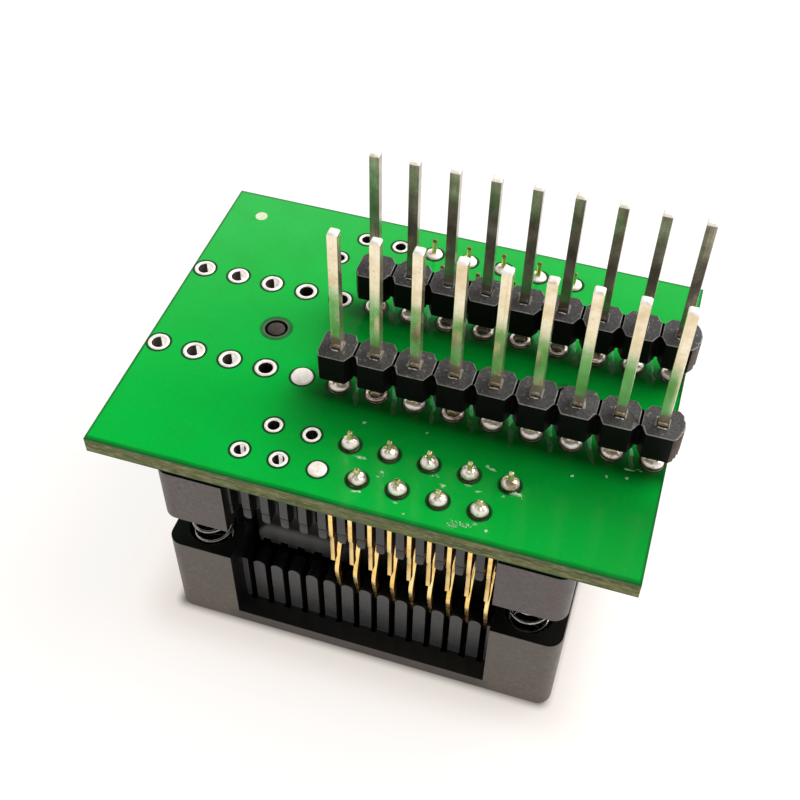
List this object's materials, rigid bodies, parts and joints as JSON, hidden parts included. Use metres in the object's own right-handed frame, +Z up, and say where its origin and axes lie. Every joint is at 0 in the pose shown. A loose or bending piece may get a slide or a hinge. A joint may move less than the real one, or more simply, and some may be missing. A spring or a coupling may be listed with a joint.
{
  "type": "ic programming adapter",
  "caption": "Chip programming adapter: green circuit board with parallel rows of long square header pins above and an open-top chip socket with a sprung press cover below.",
  "frame": {"origin": "middle of the bounding box, at the flat rim of the socket cover that the part stands on", "axes": "+Z up along the header pins, +X along the long edge of the board towards the end that carries the header, +Y from the front edge to the rear edge"},
  "size_m": [0.0352, 0.0256, 0.03],
  "materials": {
    "board": "glossy green solder mask",
    "plating": "tinned copper",
    "header_plastic": "satin black",
    "pin": "bright tin plate",
    "solder": "bright solder",
    "base_plastic": "matte black, fine grain",
    "cover_plastic": "matte black, fine grain",
    "contact": "gold plate",
    "spring": "drawn steel wire"
  },
  "bodies": {
    "adapter": {"circuit_board": "board", "contact_01": "contact", "contact_02": "contact", "contact_03": "contact", "contact_04": "contact", "contact_05": "contact", "contact_06": "contact", "contact_07": "contact", "contact_08": "contact", "contact_09": "contact", "contact_10": "contact", "contact_11": "contact", "contact_12": "contact", "contact_13": "contact", "contact_14": "contact", "contact_15": "contact", "contact_16": "contact", "contact_17": "contact", "contact_18": "contact", "header_pin_01": "pin", "header_pin_02": "pin", "header_pin_03": "pin", "header_pin_04": "pin", "header_pin_05": "pin", "header_pin_06": "pin", "header_pin_07": "pin", "header_pin_08": "pin", "header_pin_09": "pin", "header_pin_10": "pin", "header_pin_11": "pin", "header_pin_12": "pin", "header_pin_13": "pin", "header_pin_14": "pin", "header_pin_15": "pin", "header_pin_16": "pin", "header_pin_17": "pin", "header_pin_18": "pin", "header_solder_front": "solder", "header_solder_rear": "solder", "header_strip_front": "header_plastic", "header_strip_rear": "header_plastic", "plated_holes_pin_rows": "plating", "plated_holes_socket": "plating", "socket_base": "base_plastic", "socket_solder_front": "solder", "socket_solder_rear": "solder", "solder_plugs": "solder", "spring_front_left": "spring", "spring_front_right": "spring", "spring_rear_left": "spring", "spring_rear_right": "spring"},
    "cover": {"socket_cover": "cover_plastic"}
  },
  "joints": [
    {"name": "cover_press", "type": "slide", "parent": "adapter", "child": "cover", "axis": [0, 0, 1], "range_m": [0, 0.0025], "stiffness_N_per_m": 1800, "springref_m": -0.0012, "deforming": ["spring_front_left", "spring_front_right", "spring_rear_left", "spring_rear_right"]}
  ]
}
